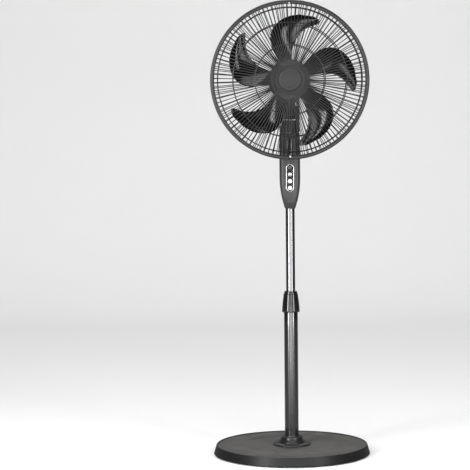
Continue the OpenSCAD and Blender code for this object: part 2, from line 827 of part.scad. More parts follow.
module motor_front_bell() {
  color(steel) head_frame() {
    difference() {
      rotate_extrude() polygon([
        [stator_r + fixed_gap, -1], [bell_r, -1], [bell_r, bell_front], [bell_r + 4, bell_front],
        [bell_r + 4, seat_front], [spigot_r, seat_front], [spigot_r, spigot_front],
        [bearing_r + fixed_gap, spigot_front], [bearing_r + fixed_gap, seat_front],
        [shaft_r + 1, seat_front], [shaft_r + 1, bell_front - 4], [stator_r + fixed_gap, bell_front - 4]
      ]);
      translate([0, 0, -2]) ring_of(4, bell_lug_circle_r, 45)
        cylinder(r = motor_bolt_r + fixed_gap, h = bell_front + 10);
    }
    bell_lugs(-1, bell_front - 2);
  }
}

module motor_rear_bell() {
  color(steel) head_frame() {
    difference() {
      rotate_extrude() polygon([
        [stator_r + fixed_gap, -1.2], [bell_r, -1.2], [bell_r, bell_back], [shaft_r + 0.6, bell_back],
        [shaft_r + 0.6, bell_back + 2], [bearing_r + fixed_gap, bell_back + 2],
        [bearing_r + fixed_gap, bell_back + 10], [bearing_r + 5, bell_back + 10],
        [bearing_r + 5, bell_back + 4], [stator_r + fixed_gap, bell_back + 4]
      ]);
      translate([0, 0, bell_back - 2]) ring_of(4, bell_lug_circle_r, 45)
        cylinder(r = motor_bolt_r + fixed_gap, h = 60);
      translate([0, 0, bell_back - cut]) ring_of(2, cover_screw_x)
        cylinder(r = cover_screw_r + fixed_gap, h = 8);
    }
    bell_lugs(bell_back, -1.2);
  }
}

module stator_core() {
  color("#6f7276") head_frame() translate([0, 0, core_back])
    tube(stator_r, rotor_r + 0.5, core_front - core_back);
}

module stator_windings() {
  color("#a8622c") head_frame() for (from_a = [core_front + 0.1, core_back - 10.1])
    translate([0, 0, from_a]) tube(stator_r - 2, rotor_r + 2, 10);
}

module motor_bearings() {
  color("#b08d57") head_frame() for (from_a = [seat_front + 0.1, bell_back + 2.1])
    translate([0, 0, from_a]) tube(bearing_r, shaft_r + run_gap, bearing_l - 0.2);
}

module motor_bolts() {
  color(steel) head_frame() ring_of(4, bell_lug_circle_r, 45) {
    translate([0, 0, bell_back - 3]) cylinder(r = 3.4, h = 2.95);
    translate([0, 0, bell_back - 1]) cylinder(r = motor_bolt_r, h = bell_front - 3 - bell_back);
  }
}

module motor_capacitor() {
  low = bell_r + 0.7;
  color("#e0dccf") head_frame() translate([-11, low, -20]) cube([22, 7.4, 28]);
}

function cover_dome(inset) = [for (i = [0:9]) let (t = 10 * i) [
  cover_flat_r + (cover_r - cover_flat_r - inset) * cos(t),
  cover_side_back - (cover_side_back - cover_back - inset) * sin(t)
]];

module motor_cover() {
  color(plastic_grey) head_frame() difference() {
    union() {
      rotate_extrude() polygon(concat(
        [[bell_r + 4.4, cover_front], [cover_r - 2, cover_front], [cover_r, cover_front - 2]],
        cover_dome(0), [[0, cover_back], [0, cover_back + cover_wall]],
        [for (i = [9:-1:0]) cover_dome(cover_wall)[i]],
        [[cover_r - cover_wall, cover_front - cover_wall], [bell_r + 4.4, cover_front - cover_wall]]
      ));
      translate([0, 0, cover_back + 1]) ring_of(2, cover_screw_x)
        cylinder(r = 4.5, h = bell_back - cover_back - 1.2);
    }
    translate([0, 0, cover_back - cut]) ring_of(2, cover_screw_x) {
      cylinder(r = cover_screw_r + 0.1, h = 40);
      cylinder(r = 3.6, h = 3 + cut);
    }
    translate([-knuckle_w / 2 - 1.2, -cover_r - cut, -knuckle_depth / 2 - 1.5])
      cube([knuckle_w + 2.4, cover_r - bell_r + 4, knuckle_depth + 3]);
    for (i = [0:cover_slot_count - 1]) rotate((i + 0.5) * 360 / cover_slot_count)
      translate([cover_flat_r + 6, -1.3, cover_back - cut]) cube([cover_r - cover_flat_r - 17, 2.6, 30]);
    for (i = [0:8]) rotate(26 + 16 * i) translate([cover_r - 6, -1.5, -16]) cube([12, 3, 34]);
  }
}

module cover_screws() {
  color(steel) head_frame() ring_of(2, cover_screw_x) {
    translate([0, 0, cover_back + 1]) cylinder(r = 3.3, h = 1.95);
    translate([0, 0, cover_back + 2]) cylinder(r = cover_screw_r, h = bell_back + 3 - cover_back - 2);
  }
}

// Half section of a cage wire: a superellipse from the centre plate to the shoulder,
// then a short leg into the rim.
function cage_angle(r) = acos(pow(r / cage_r, cage_power / 2));

function cage_at(t, depth) = [cage_r * pow(cos(t), 2 / cage_power), depth * pow(sin(t), 2 / cage_power)];

function cage_path(depth) =
  let (from = cage_angle(wire_start_r), to = asin(pow(wire_seat / depth, cage_power / 2)))
  concat([for (i = [0:11]) cage_at(from + (to - from) * i / 11, depth)], [[wire_end_r, wire_seat]]);

function unit(v) = v / norm(v);

function side_step(path, i) =
  let (
    before = unit(path[max(i, 1)] - path[max(i, 1) - 1]),
    after = unit(path[min(i + 1, len(path) - 1)] - path[min(i, len(path) - 2)]),
    mean = unit(before + after)
  )
  [-mean[1], mean[0]] / max(0.5, before * mean);

function ribbon(path, width) = concat(
  [for (i = [0:len(path) - 1]) path[i] + side_step(path, i) * width / 2],
  [for (i = [len(path) - 1:-1:0]) path[i] - side_step(path, i) * width / 2]
);

module cage_wires(count, depth, facing) {
  head_frame() translate([0, 0, rim_forward]) mirror([0, 0, facing > 0 ? 0 : 1])
    for (i = [0:count - 1]) rotate(-90 + (i + 0.5) * 360 / count) rotate([90, 0, 0])
      linear_extrude(wire_d, center = true) polygon(ribbon(cage_path(depth), wire_d));
}

module cage_rings(depth, facing) {
  sink = wire_d / 2 + ring_wire_r + ring_gap;
  head_frame() translate([0, 0, rim_forward]) mirror([0, 0, facing > 0 ? 0 : 1]) {
    for (share = ring_shares) {
      at = cage_at(cage_angle(share * cage_r), depth);
      out = unit([pow(at[0], 2) / pow(cage_r, 3), pow(at[1], 2) / pow(depth, 3)]);
      ring_r = at[0] - out[0] * sink;
      translate([0, 0, at[1] - out[1] * sink]) torus(ring_r, ring_wire_r);
    }
    translate([0, 0, wire_seat]) torus(perimeter_r, perimeter_wire_r);
  }
}

module rear_cage_frame() {
  color(paint_black) {
    cage_rings(rear_depth, -1);
    head_frame() translate([0, 0, seat_front + fixed_gap]) tube(plate_r, spigot_r + 0.1, cage_plate_t);
  }
}

module rear_cage_wires() {
  color(paint_black) cage_wires(rear_wires, rear_depth, -1);
}

module cage_nut() {
  from_a = seat_front + cage_plate_t + 2 * fixed_gap;
  color(plastic_black) head_frame() translate([0, 0, from_a]) difference() {
    cylinder(r1 = nut_r, r2 = nut_r - 3, h = nut_l);
    translate([0, 0, -cut]) cylinder(r = spigot_r + run_gap, h = nut_l + 2 * cut);
    translate([0, 0, 2]) ring_of(8, nut_r + 2) cylinder(r = 5, h = nut_l);
  }
}

module front_cage_frame() {
  color(paint_black) {
    cage_rings(front_depth, 1);
    head_frame() translate([0, 0, rim_forward + front_depth - 1.3]) tube(plate_r, 6, cage_plate_t);
  }
}

module front_cage_wires() {
  color(paint_black) cage_wires(front_wires, front_depth, 1);
}

module front_badge() {
  from_a = rim_forward + front_depth - 1.3 + cage_plate_t + fixed_gap;
  color("#474748") head_frame() translate([0, 0, from_a]) {
    rotate_extrude() polygon([
      [0, 0], [badge_d / 2, 0], [badge_d / 2, 3], [badge_d / 2 - 2, 5.2], [badge_d / 2 - 9, 6.4], [0, 7]
    ]);
    translate([0, 0, -4]) cylinder(r = 5.9, h = 5);
  }
}

module cage_rim() {
  half = rim_depth / 2;
  color(plastic_black) head_frame() translate([0, 0, rim_forward]) difference() {
    rotate_extrude() polygon([
      [rim_lip_r, -half], [rim_r - rim_edge, -half], [rim_r, rim_edge - half],
      [rim_r, half - rim_edge], [rim_r - rim_edge, half], [rim_lip_r, half],
      [rim_lip_r, half - rim_wall], [rim_r - rim_wall, half - rim_wall],
      [rim_r - rim_wall, rim_wall - half], [rim_lip_r, rim_wall - half]
    ]);
    translate([0, 0, -half - cut]) ring_of(2, rim_screw_circle_r, 90)
      cylinder(r = rim_screw_r + fixed_gap, h = rim_depth + 2 * cut);
  }
}

// Two long screws hold the rim's front and rear flanges together, at the top and
// the bottom, between two wires.
module rim_screws() {
  half = rim_depth / 2;
  color(steel) head_frame() translate([0, 0, rim_forward]) ring_of(2, rim_screw_circle_r, 90) {
    cylinder_z(rim_screw_r, -half - rim_nut_h - rim_nut_gap, half + 0.5);
    cylinder_z(rim_screw_r + 1.1, half + fixed_gap, half + 1.2);
  }
}

module rim_nuts() {
  back = -rim_depth / 2 - rim_nut_h - rim_nut_gap;
  color(steel) head_frame() translate([0, 0, rim_forward + back]) ring_of(2, rim_screw_circle_r, 90)
    difference() {
      cylinder(r = rim_screw_r + 1.5, h = rim_nut_h, $fn = 6);
      translate([0, 0, -cut]) cylinder(r = rim_screw_r + fixed_gap, h = rim_nut_h + 2 * cut);
    }
}

// ---------- Rotor ----------

module motor_shaft() {
  color(steel) head_frame() {
    translate([0, 0, bell_back + 3]) cylinder(r = shaft_r, h = hub_front + 9 - bell_back);
    translate([-drive_pin_l / 2, 0, boss_back + 1.6]) along_x() cylinder(r = drive_pin_r, h = drive_pin_l);
  }
}

module motor_rotor() {
  color("#8d9094") head_frame() translate([0, 0, core_back])
    tube(rotor_r, shaft_r + fixed_gap, core_front - core_back);
}

// Blade outline in polar form: the two edges' angles and the axial depth at a share u of the span.
function lead_angle(u) = 85 - 13 * pow(u, 2) - 14 * pow(u, 5);
function trail_angle(u) = 115 + 6 * (1 - u) - 34 * pow(u, 4.5) - 12 * pow(u, 30);
function blade_depth(u) = 37 - 17 * u;
function blade_camber(u) = 5 + 3 * u;

function blade_point(u, v, side) =
  let (
    r = hub_r - 1.5 + (blade_r - hub_r + 1.5) * u, a = trail_angle(u) + (lead_angle(u) - trail_angle(u)) * v,
    half_t = (1.4 - 0.6 * u) * (0.55 + 1.8 * v * (1 - v)),
    forward = blade_mid + blade_depth(u) * (0.5 - v) - blade_camber(u) * 4 * v * (1 - v) + side * half_t
  )
  [r * cos(a), r * sin(a), forward];

module blade(spans, chords) {
  row = chords + 1;
  sheet_size = (spans + 1) * row;
  points = [for (side = [1, -1], i = [0:spans], j = [0:chords]) blade_point(i / spans, j / chords, side)];
  front = [for (i = [0:spans - 1], j = [0:chords - 1]) let (k = i * row + j)
    each [[k, k + row, k + row + 1], [k, k + row + 1, k + 1]]];
  back = [for (f = front) [f[2] + sheet_size, f[1] + sheet_size, f[0] + sheet_size]];
  rim = concat(
    [for (j = [0:chords]) j], [for (i = [1:spans]) i * row + chords],
    [for (j = [chords - 1:-1:0]) spans * row + j], [for (i = [spans - 1:-1:1]) i * row]
  );
  edge = [for (k = [0:len(rim) - 1]) let (a = rim[k], b = rim[(k + 1) % len(rim)])
    each [[a, b, b + sheet_size], [a, b + sheet_size, a + sheet_size]]];
  polyhedron(points = points, faces = concat(front, back, edge));
}

module fan_blade() {
  color("#161617") head_frame() difference() {
    union() {
      rotate_extrude() polygon([
        [0, boss_back], [boss_r, boss_back], [boss_r, hub_front - 4], [hub_r - hub_wall, hub_front - 4],
        [hub_r - hub_wall, hub_back], [hub_r, hub_back], [hub_r, hub_front - 3],
        [hub_r - 3, hub_front], [0, hub_front]
      ]);
      for (i = [0:blade_count - 1]) rotate(i * 360 / blade_count) blade(12, 8);
    }
    translate([0, 0, boss_back - cut]) cylinder(r = shaft_r + fixed_gap, h = hub_front - boss_back + 2 * cut);
    translate([-drive_pin_l / 2 - cut, -drive_pin_r - 0.1, boss_back - cut])
      cube([drive_pin_l + 2 * cut, 2 * drive_pin_r + 0.2, cut + 1.6 + drive_pin_r + 0.2]);
  }
}

module spinner_nut() {
  color(plastic_black) head_frame() translate([0, 0, hub_front + fixed_gap]) difference() {
    rotate_extrude() polygon([
      [0, 0], [spinner_r, 0], [spinner_r, 4], [spinner_r - 1.5, spinner_l * 0.55],
      [spinner_r - 6, spinner_l * 0.85], [spinner_r - 12, spinner_l], [0, spinner_l]
    ]);
    translate([0, 0, -cut]) cylinder(r = shaft_r + fixed_gap, h = spinner_l - 4 + cut);
  }
}

base_cover();
base_weight();
base_plate();
rubber_feet();
pole_socket();
socket_bolts();
base_screws();
base_trim_collar();
lower_pole();
pole_collet();
lock_collar();
upper_pole();
pole_guide();
mast_bracket();
control_box_rear();
control_box_front();
control_box_screws();
pole_clamp_screw();
cord_gland();
button_panel();
receiver_window();
control_board();
button_switches();
swivel_bush();
thrust_washer();
swing_motor();
push_button(0);  // power_button
push_button(1);  // speed_button
push_button(2);  // mode_button
push_button(3);  // timer_button
swing_pinion();
tilt_yoke();
swing_gear();
spindle_nut();
tilt_bolt();
tilt_nut();
tilt_washers();
tilt_knuckle();
motor_front_bell();
motor_rear_bell();
stator_core();
stator_windings();
motor_bearings();
motor_bolts();
motor_capacitor();
motor_cover();
cover_screws();
rear_cage_frame();
rear_cage_wires();
cage_nut();
front_cage_frame();
front_cage_wires();
front_badge();
cage_rim();
rim_screws();
rim_nuts();
motor_shaft();
motor_rotor();
fan_blade();
spinner_nut();
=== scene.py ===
import json
from math import acos, asin, cos, pi, radians, sin, sqrt

import bmesh
import bpy
from mathutils import Matrix, Vector


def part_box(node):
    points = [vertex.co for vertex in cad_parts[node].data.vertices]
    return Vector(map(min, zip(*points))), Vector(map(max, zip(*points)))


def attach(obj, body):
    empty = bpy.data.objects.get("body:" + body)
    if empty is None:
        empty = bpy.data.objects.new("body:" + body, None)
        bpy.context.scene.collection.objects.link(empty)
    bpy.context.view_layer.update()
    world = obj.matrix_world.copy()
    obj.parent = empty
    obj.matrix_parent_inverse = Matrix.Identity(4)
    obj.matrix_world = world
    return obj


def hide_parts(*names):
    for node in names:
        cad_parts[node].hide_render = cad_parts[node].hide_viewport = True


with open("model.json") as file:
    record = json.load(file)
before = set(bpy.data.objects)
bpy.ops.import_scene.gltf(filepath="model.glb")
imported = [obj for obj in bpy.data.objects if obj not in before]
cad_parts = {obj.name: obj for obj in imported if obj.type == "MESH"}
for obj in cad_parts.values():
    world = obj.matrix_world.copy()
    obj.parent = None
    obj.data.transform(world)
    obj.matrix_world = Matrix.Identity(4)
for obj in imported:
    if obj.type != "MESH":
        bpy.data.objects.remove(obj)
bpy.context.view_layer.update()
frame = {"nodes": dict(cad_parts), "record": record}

MM = 0.001
SAME_POINT = 0.00002  # points closer than this, in metres, are joined
HOME = {node: body for body, nodes in frame["record"]["behaviour"]["bodies"].items() for node in nodes}


def low(node):
    """Lowest corner of a node in millimetres."""
    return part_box(node)[0] / MM


def high(node):
    """Highest corner of a node in millimetres."""
    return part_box(node)[1] / MM


# Places of the main parts
HEAD_Z = (low("cage_rim").z + high("cage_rim").z) / 2
RIM_R = high("cage_rim").x
RIM_MID = -(low("cage_rim").y + high("cage_rim").y) / 2
RIM_HALF = (high("cage_rim").y - low("cage_rim").y) / 2
BASE_R = high("base_cover").x
POLE_R = high("lower_pole").x
MAST_R = high("upper_pole").x


# ---------- Workshop: how pieces are shaped ----------

def deselect():
    bpy.ops.object.select_all(action="DESELECT")


def pick(piece):
    deselect()
    piece.select_set(True)
    bpy.context.view_layer.objects.active = piece


def named(name):
    piece = bpy.context.active_object
    piece.name = piece.data.name = name
    return piece


def edit(piece):
    pick(piece)
    bpy.ops.object.mode_set(mode="EDIT")


def done():
    bpy.ops.object.mode_set(mode="OBJECT")


def settle(piece):
    """Puts the piece's place and turn into its mesh."""
    pick(piece)
    bpy.ops.object.transform_apply(location=True, rotation=True, scale=True)


def choose(piece, test, kind="FACE"):
    """Selects faces, edges or points by their place and normal, in edit mode, in millimetres."""
    bpy.ops.mesh.select_mode(type=kind)
    bpy.ops.mesh.select_all(action="DESELECT")
    shape = bmesh.from_edit_mesh(piece.data)
    if kind == "FACE":
        for face in shape.faces:
            if test(face.calc_center_median() / MM, face.normal):
                face.select_set(True)
    elif kind == "EDGE":
        for edge in shape.edges:
            if test(*(v.co / MM for v in edge.verts)):
                edge.select_set(True)
    else:
        for point in shape.verts:
            if test(point.co / MM):
                point.select_set(True)
    bmesh.update_edit_mesh(piece.data)


def move(x=0, y=0, z=0):
    bpy.ops.transform.translate(value=(x * MM, y * MM, z * MM))


def outward(piece):
    """Joins doubled points and turns every face outwards."""
    edit(piece)
    bpy.ops.mesh.select_all(action="SELECT")
    bpy.ops.mesh.remove_doubles(threshold=SAME_POINT)
    bpy.ops.mesh.normals_make_consistent(inside=False)
    done()


def repeated(piece, count):
    """Copies a piece evenly round the upright axis, in one mesh."""
    edit(piece)
    bpy.ops.mesh.select_all(action="SELECT")
    bpy.ops.mesh.normals_make_consistent(inside=False)
    bpy.ops.mesh.spin(steps=count, dupli=True, angle=2 * pi, center=(0, 0, 0), axis=(0, 0, 1))
    bpy.ops.mesh.select_all(action="SELECT")
    bpy.ops.mesh.remove_doubles(threshold=SAME_POINT)
    done()


def joined(name, *pieces):
    deselect()
    for piece in pieces:
        piece.select_set(True)
    bpy.context.view_layer.objects.active = pieces[0]
    bpy.ops.object.join()
    return named(name)


def with_modifier(piece, kind, **settings):
    pick(piece)
    step = piece.modifiers.new(kind.lower(), kind)
    for key, value in settings.items():
        setattr(step, key, value)
    bpy.ops.object.modifier_apply(modifier=step.name)


def rounded(piece, width, segments=2, angle=28):
    with_modifier(piece, "BEVEL", width=width * MM, segments=segments, limit_method="ANGLE",
                  angle_limit=radians(angle), use_clamp_overlap=True)


def cut_by(piece, *cutters):
    for cutter in cutters:
        with_modifier(piece, "BOOLEAN", operation="DIFFERENCE", solver="EXACT", object=cutter)
        bpy.data.objects.remove(cutter)


def forward(piece, z):
    """Turns a piece built upright so that its top faces the front, at a height."""
    settle(piece)
    piece.rotation_euler = (pi / 2, 0, 0)
    piece.location = (0, 0, z * MM)
    settle(piece)
    return piece


def outline(name, points):
    """A chain of points in the x-z plane, extruded one after the other."""
    deselect()
    bpy.ops.mesh.primitive_plane_add(size=MM, location=(points[0][0] * MM, 0, points[0][1] * MM))
    piece = named(name)
    bpy.ops.object.mode_set(mode="EDIT")
    bpy.ops.mesh.select_all(action="SELECT")
    bpy.ops.mesh.merge(type="CENTER")
    for here, there in zip(points, points[1:]):
        bpy.ops.mesh.extrude_region_move(TRANSFORM_OT_translate={
            "value": ((there[0] - here[0]) * MM, 0, (there[1] - here[1]) * MM)})
    done()
    return piece


def turned(name, profile, sides=128, width=0.0, segments=2):
    """A piece turned on a lathe from its half profile of (radius, height)."""
    piece = outline(name, profile)
    settle(piece)
    edit(piece)
    bpy.ops.mesh.select_all(action="SELECT")
    bpy.ops.mesh.spin(steps=sides, angle=2 * pi, center=(0, 0, 0), axis=(0, 0, 1))
    done()
    outward(piece)
    if width:
        rounded(piece, width, segments)
    return piece


def loop_of(profile):
    return profile + [profile[0]]


def wire_ring(name, ring_r, at, wire_r, sides=160, around=8):
    return turned(name, loop_of([(ring_r + wire_r * cos(2 * pi * i / around),
                                  at + wire_r * sin(2 * pi * i / around))
                                 for i in range(around)]), sides)


def pill(name, width, length, mid_z, from_y, to_y, sides=48):
    """A bar with round ends standing upright, facing the front, between two depths."""
    half_run = (length - width) / 2
    deselect()
    bpy.ops.mesh.primitive_cylinder_add(vertices=sides, radius=width / 2 * MM,
                                        depth=abs(to_y - from_y) * MM,
                                        location=(0, 0, 0), rotation=(0, 0, pi / sides))
    piece = named(name)
    settle(piece)
    edit(piece)
    for side in (-1, 1):
        choose(piece, lambda p: p.y * side > 0, "VERT")
        move(y=side * half_run)
    done()
    forward(piece, mid_z)
    piece.location = (0, (from_y + to_y) / 2 * MM, 0)
    settle(piece)
    return piece


def refined(node, width=0.3, angle=28, segments=2):
    """A worked copy of a designed part: points joined, flat faces cleaned, edges rounded."""
    mesh = frame["nodes"][node].data.copy()
    piece = bpy.data.objects.new(node + "_finished", mesh)
    bpy.context.scene.collection.objects.link(piece)
    edit(piece)
    bpy.ops.mesh.customdata_custom_splitnormals_clear()
    bpy.ops.mesh.select_all(action="SELECT")
    bpy.ops.mesh.remove_doubles(threshold=0.00001)
    bpy.ops.mesh.dissolve_limited(angle_limit=radians(1.5))
    done()
    rounded(piece, width, segments, angle)
    return piece


def finished(piece, material, *nodes, smooth=32, stands_for=True, body=None, slot=None):
    """Gives a piece its finish and body, and hides the designed parts that it stands for."""
    settle(piece)
    piece.data.materials.clear()
    piece.data.materials.append(FINISHES[material])
    bpy.ops.object.shade_smooth_by_angle(angle=radians(smooth))
    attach(piece, body or HOME[nodes[0]])
    if stands_for:
        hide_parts(*nodes)
    return piece


# ---------- Finishes ----------

SLOTS = {row["node"]: row["material_slot"] for row in frame["record"]["subparts"]}


def effect(name, inputs, outputs):
    group = bpy.data.node_groups.new(name, "ShaderNodeTree")
    for label, kind, value in inputs:
        socket = group.interface.new_socket(label, in_out="INPUT", socket_type=kind)
        if value is not None:
            socket.default_value = value
    for label, kind in outputs:
        group.interface.new_socket(label, in_out="OUTPUT", socket_type=kind)
    nodes = group.nodes
    return group, nodes, group.links.new, nodes.new("NodeGroupInput"), nodes.new("NodeGroupOutput")


FLOAT, COLOUR, VECTOR = "NodeSocketFloat", "NodeSocketColor", "NodeSocketVector"


def math(nodes, link, operation, *values, clamp=False):
    node = nodes.new("ShaderNodeMath")
    node.operation = operation
    node.use_clamp = clamp
    for socket, value in zip(node.inputs, values):
        if isinstance(value, (int, float)):
            socket.default_value = value
        else:
            link(value, socket)
    return node.outputs[0]


def noise(nodes, link, vector, scale, detail=3.0, rough=0.55):
    node = nodes.new("ShaderNodeTexNoise")
    node.inputs["Detail"].default_value = detail
    node.inputs["Roughness"].default_value = rough
    if isinstance(scale, (int, float)):
        node.inputs["Scale"].default_value = scale
    else:
        link(scale, node.inputs["Scale"])
    link(vector, node.inputs["Vector"])
    return node.outputs["Fac"]


def mix(nodes, link, factor, first, second):
    node = nodes.new("ShaderNodeMix")
    node.data_type = "RGBA"
    link(factor, node.inputs[0])
    for socket, value in ((node.inputs[6], first), (node.inputs[7], second)):
        if isinstance(value, tuple):
            socket.default_value = (*value, 1)
        else:
            link(value, socket)
    return node.outputs[2]


def make_patina_and_sheen():
    """Soft variation of colour and roughness, with dust and a painted lighter sheen on faces that look up.
    """
    group, nodes, link, given, result = effect("patina_and_sheen", [
        ("Vector", VECTOR, None), ("Colour", COLOUR, (0.1, 0.1, 0.1, 1)),
        ("Sheen and dust colour", COLOUR, (0.4, 0.39, 0.37, 1)),
        ("Scale", FLOAT, 30.0), ("Colour change", FLOAT, 0.1), ("Roughness", FLOAT, 0.4),
        ("Roughness change", FLOAT, 0.1), ("Dust and top sheen", FLOAT, 0.05)],
        [("Colour", COLOUR), ("Roughness", FLOAT)])
    broad = noise(nodes, link, given.outputs["Vector"], given.outputs["Scale"])
    fine_scale = math(nodes, link, "MULTIPLY", given.outputs["Scale"], 9.0)
    fine = noise(nodes, link, given.outputs["Vector"], fine_scale, 2.0)
    both = math(nodes, link, "MULTIPLY_ADD", broad, 0.7, math(nodes, link, "MULTIPLY", fine, 0.3))
    swing = math(nodes, link, "SUBTRACT", both, 0.5)
    shade = math(nodes, link, "MULTIPLY_ADD", swing,
                 math(nodes, link, "MULTIPLY", given.outputs["Colour change"], 4.0), 1.0)
    toned = nodes.new("ShaderNodeVectorMath")
    toned.operation = "SCALE"
    link(given.outputs["Colour"], toned.inputs[0])
    link(shade, toned.inputs["Scale"])
    facing = nodes.new("ShaderNodeNewGeometry")
    parts = nodes.new("ShaderNodeSeparateXYZ")
    link(facing.outputs["Normal"], parts.inputs[0])
    # Faces that look up are lightened towards the dust colour: partly real dust, partly a painted sheen of
    # light on tops
    up = math(nodes, link, "POWER", math(nodes, link, "MAXIMUM", parts.outputs["Z"], 0.0), 3.0)
    sheen_and_speck = math(nodes, link, "MULTIPLY", up, math(nodes, link, "MULTIPLY", both, 1.6))
    dust_and_sheen = math(nodes, link, "MULTIPLY", sheen_and_speck, given.outputs["Dust and top sheen"], clamp=True)
    link(mix(nodes, link, dust_and_sheen, toned.outputs[0], given.outputs["Sheen and dust colour"]), result.inputs["Colour"])
    wavy = math(nodes, link, "MULTIPLY_ADD", swing,
                math(nodes, link, "MULTIPLY", given.outputs["Roughness change"], 4.0),
                given.outputs["Roughness"])
    link(math(nodes, link, "ADD", wavy, math(nodes, link, "MULTIPLY", dust_and_sheen, 0.4), clamp=True),
         result.inputs["Roughness"])
    return group


def make_grain():
    """Height of a spark-eroded mould surface: small rounded grains."""
    group, nodes, link, given, result = effect("moulded grain", [
        ("Vector", VECTOR, None), ("Scale", FLOAT, 1500.0)], [("Height", FLOAT)])
    cells = nodes.new("ShaderNodeTexVoronoi")
    cells.feature = "SMOOTH_F1"
    link(given.outputs["Vector"], cells.inputs["Vector"])
    link(given.outputs["Scale"], cells.inputs["Scale"])
    soft = noise(nodes, link, given.outputs["Vector"], given.outputs["Scale"], 2.0)
    link(math(nodes, link, "MULTIPLY_ADD", cells.outputs["Distance"], 0.6,
              math(nodes, link, "MULTIPLY", soft, 0.4)), result.inputs["Height"])
    return group


def make_ripple():
    """Height of a paint or gloss film: a slow orange-peel ripple."""
    group, nodes, link, given, result = effect("film ripple", [
        ("Vector", VECTOR, None), ("Scale", FLOAT, 220.0)], [("Height", FLOAT)])
    link(noise(nodes, link, given.outputs["Vector"], given.outputs["Scale"], 1.0, 0.4),
         result.inputs["Height"])
    return group


def make_brushing():
    """Height of fine lines drawn along one direction, set by how far each axis is stretched."""
    group, nodes, link, given, result = effect("brushed lines", [
        ("Vector", VECTOR, None), ("Stretch", VECTOR, (1, 1, 1)), ("Scale", FLOAT, 900.0)],
        [("Height", FLOAT)])
    stretched = nodes.new("ShaderNodeVectorMath")
    stretched.operation = "MULTIPLY"
    link(given.outputs["Vector"], stretched.inputs[0])
    link(given.outputs["Stretch"], stretched.inputs[1])
    link(noise(nodes, link, stretched.outputs[0], given.outputs["Scale"], 3.0, 0.6),
         result.inputs["Height"])
    return group


PATINA_AND_SHEEN, GRAIN, RIPPLE, BRUSHING = make_patina_and_sheen(), make_grain(), make_ripple(), make_brushing()
RELIEF = {"grain": GRAIN, "ripple": RIPPLE, "brushed": BRUSHING}


def finish(name, colour, rough, relief=None, metallic=0.0, coat=0.0, coat_rough=0.05,
           vary=(30.0, 0.06, 0.04),
           dust_and_sheen=0.03, stretch=(1, 1, 1), specular=0.5):
    """A material: patina and painted top sheen for colour and roughness, and a relief as (kind, scale,
    strength, depth mm).
    """
    material = bpy.data.materials.new(name)
    material.use_nodes = True
    nodes, link = material.node_tree.nodes, material.node_tree.links.new
    shader = nodes["Principled BSDF"]
    place = nodes.new("ShaderNodeTexCoord").outputs["Object"]
    patina_and_sheen = nodes.new("ShaderNodeGroup")
    patina_and_sheen.node_tree = PATINA_AND_SHEEN
    link(place, patina_and_sheen.inputs["Vector"])
    for label, value in (("Colour", (*colour, 1)), ("Scale", vary[0]), ("Colour change", vary[1]),
                         ("Roughness", rough), ("Roughness change", vary[2]), ("Dust and top sheen", dust_and_sheen)):
        patina_and_sheen.inputs[label].default_value = value
    link(patina_and_sheen.outputs["Colour"], shader.inputs["Base Color"])
    link(patina_and_sheen.outputs["Roughness"], shader.inputs["Roughness"])
    shader.inputs["Metallic"].default_value = metallic
    shader.inputs["Coat Weight"].default_value = coat
    shader.inputs["Coat Roughness"].default_value = coat_rough
    shader.inputs["Specular IOR Level"].default_value = specular
    if relief:
        kind, scale, strength, depth = relief
        surface = nodes.new("ShaderNodeGroup")
        surface.node_tree = RELIEF[kind]
        link(place, surface.inputs["Vector"])
        surface.inputs["Scale"].default_value = scale
        if kind == "brushed":
            surface.inputs["Stretch"].default_value = stretch
        bump = nodes.new("ShaderNodeBump")
        bump.inputs["Strength"].default_value = strength
        bump.inputs["Distance"].default_value = depth * MM
        link(surface.outputs["Height"], bump.inputs["Height"])
        link(bump.outputs["Normal"], shader.inputs["Normal"])
    return material


